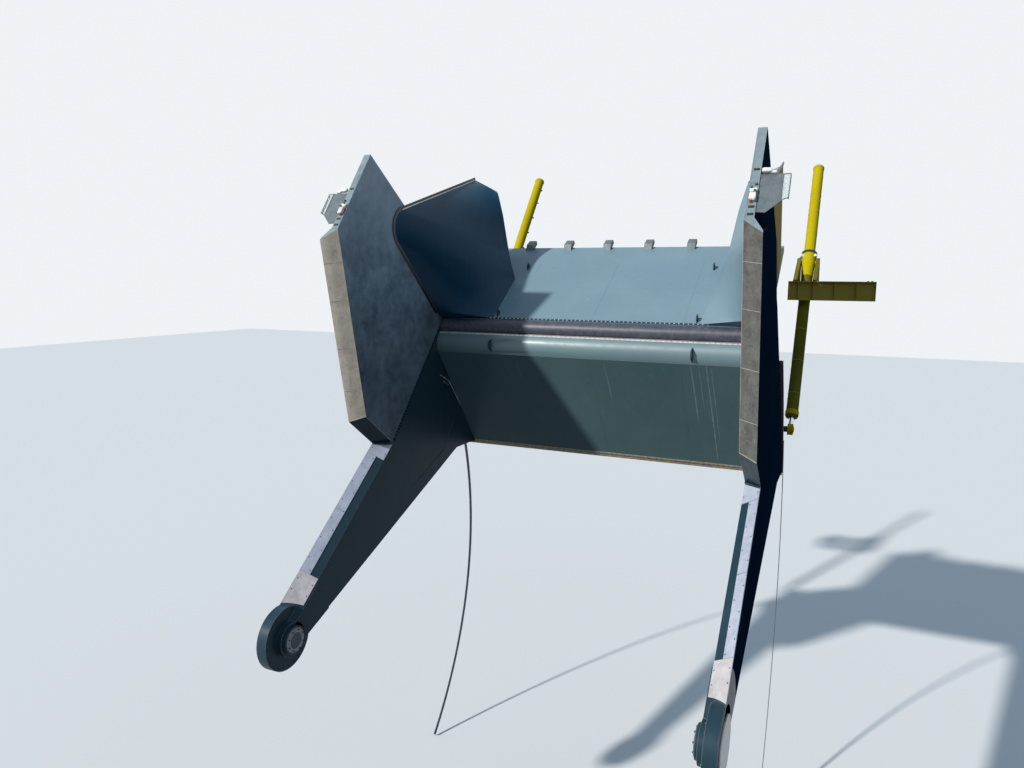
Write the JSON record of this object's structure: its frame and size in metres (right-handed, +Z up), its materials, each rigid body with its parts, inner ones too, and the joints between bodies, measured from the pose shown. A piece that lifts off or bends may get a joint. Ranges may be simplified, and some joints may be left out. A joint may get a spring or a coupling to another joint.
{
  "type": "radial weir gate",
  "caption": "Radial weir gate hung on two side arms with bare steel side shields, a hinged overflow flap with fins, and a long hydraulic hoist cylinder on either side, shown raised",
  "frame": {"origin": "on the trunnion axis, at the outer face of the left trunnion anchor where it meets the pier", "axes": "+X across the bay from the left pier to the right pier along the trunnion axis, +Y downstream, +Z up"},
  "size_m": [15.38, 17.9987, 20.2106],
  "materials": {
    "navy_paint": "gloss",
    "teal_paint": "gloss",
    "bare_steel": "mottled",
    "stainless": "satin",
    "rod_chrome": "polished",
    "hoist_yellow": "gloss",
    "black_rubber": "matte",
    "beige_seal": "matte"
  },
  "bodies": {
    "fixed_steel": {"left_trunnion_anchor": "stainless", "right_trunnion_anchor": "stainless", "left_seal_track": "stainless", "right_seal_track": "stainless", "left_hoist_beam": "hoist_yellow", "right_hoist_beam": "hoist_yellow", "left_hoist_stools": "hoist_yellow", "right_hoist_stools": "hoist_yellow"},
    "gate": {"left_arm": "navy_paint", "right_arm": "navy_paint", "left_trunnion_hub": "navy_paint", "right_trunnion_hub": "navy_paint", "left_shield_box": "navy_paint", "right_shield_box": "navy_paint", "left_shield_plate": "bare_steel", "right_shield_plate": "bare_steel", "left_end_plate": "navy_paint", "right_end_plate": "navy_paint", "left_wear_plates": "stainless", "right_wear_plates": "stainless", "left_guide_cover": "stainless", "right_guide_cover": "stainless", "left_side_seal": "black_rubber", "right_side_seal": "black_rubber", "front_plate": "teal_paint", "nose": "teal_paint", "back_skin": "navy_paint", "hinge_seat": "stainless", "bottom_seal": "beige_seal", "nose_lugs": "navy_paint"},
    "flap": {"torsion_tube": "black_rubber", "flap_skin": "teal_paint", "flap_ribs": "navy_paint", "nappe_breakers": "bare_steel", "flap_lugs": "navy_paint", "left_fin": "teal_paint", "right_fin": "teal_paint", "left_fin_seal": "black_rubber", "right_fin_seal": "black_rubber"},
    "left_cylinder": {"left_barrel": "hoist_yellow"},
    "right_cylinder": {"right_barrel": "hoist_yellow"},
    "left_piston_rod": {"left_rod": "rod_chrome"},
    "right_piston_rod": {"right_rod": "rod_chrome"}
  },
  "joints": [
    {"name": "gate_lift", "type": "hinge", "parent": "fixed_steel", "child": "gate", "pos_m": [0, 0, 0], "axis": [1, 0, 0], "range_deg": [-57, 0]},
    {"name": "flap_tilt", "type": "hinge", "parent": "gate", "child": "flap", "pos_m": [0.445, 7.67791, 7.33717], "axis": [1, 0, 0], "range_deg": [0, 88]},
    {"name": "left_barrel_swing", "type": "hinge", "parent": "fixed_steel", "child": "left_cylinder", "pos_m": [-0.1, 14.35, 9.45], "axis": [1, 0, 0], "range_deg": [0, 20]},
    {"name": "left_rod_slide", "type": "slide", "parent": "left_cylinder", "child": "left_piston_rod", "axis": [0, -0.6095, -0.7928], "range_m": [0, 10.18]},
    {"name": "right_barrel_swing", "type": "hinge", "parent": "fixed_steel", "child": "right_cylinder", "pos_m": [11, 14.35, 9.45], "axis": [1, 0, 0], "range_deg": [0, 20]},
    {"name": "right_rod_slide", "type": "slide", "parent": "right_cylinder", "child": "right_piston_rod", "axis": [0, -0.6095, -0.7928], "range_m": [0, 10.18]}
  ],
  "couplings": [
    {"joint": "left_barrel_swing", "follows": "gate_lift", "ratio": -0.35},
    {"joint": "left_rod_slide", "follows": "gate_lift", "m_per_rad": -10.226},
    {"joint": "right_barrel_swing", "follows": "gate_lift", "ratio": -0.35},
    {"joint": "right_rod_slide", "follows": "gate_lift", "m_per_rad": -10.226}
  ]
}
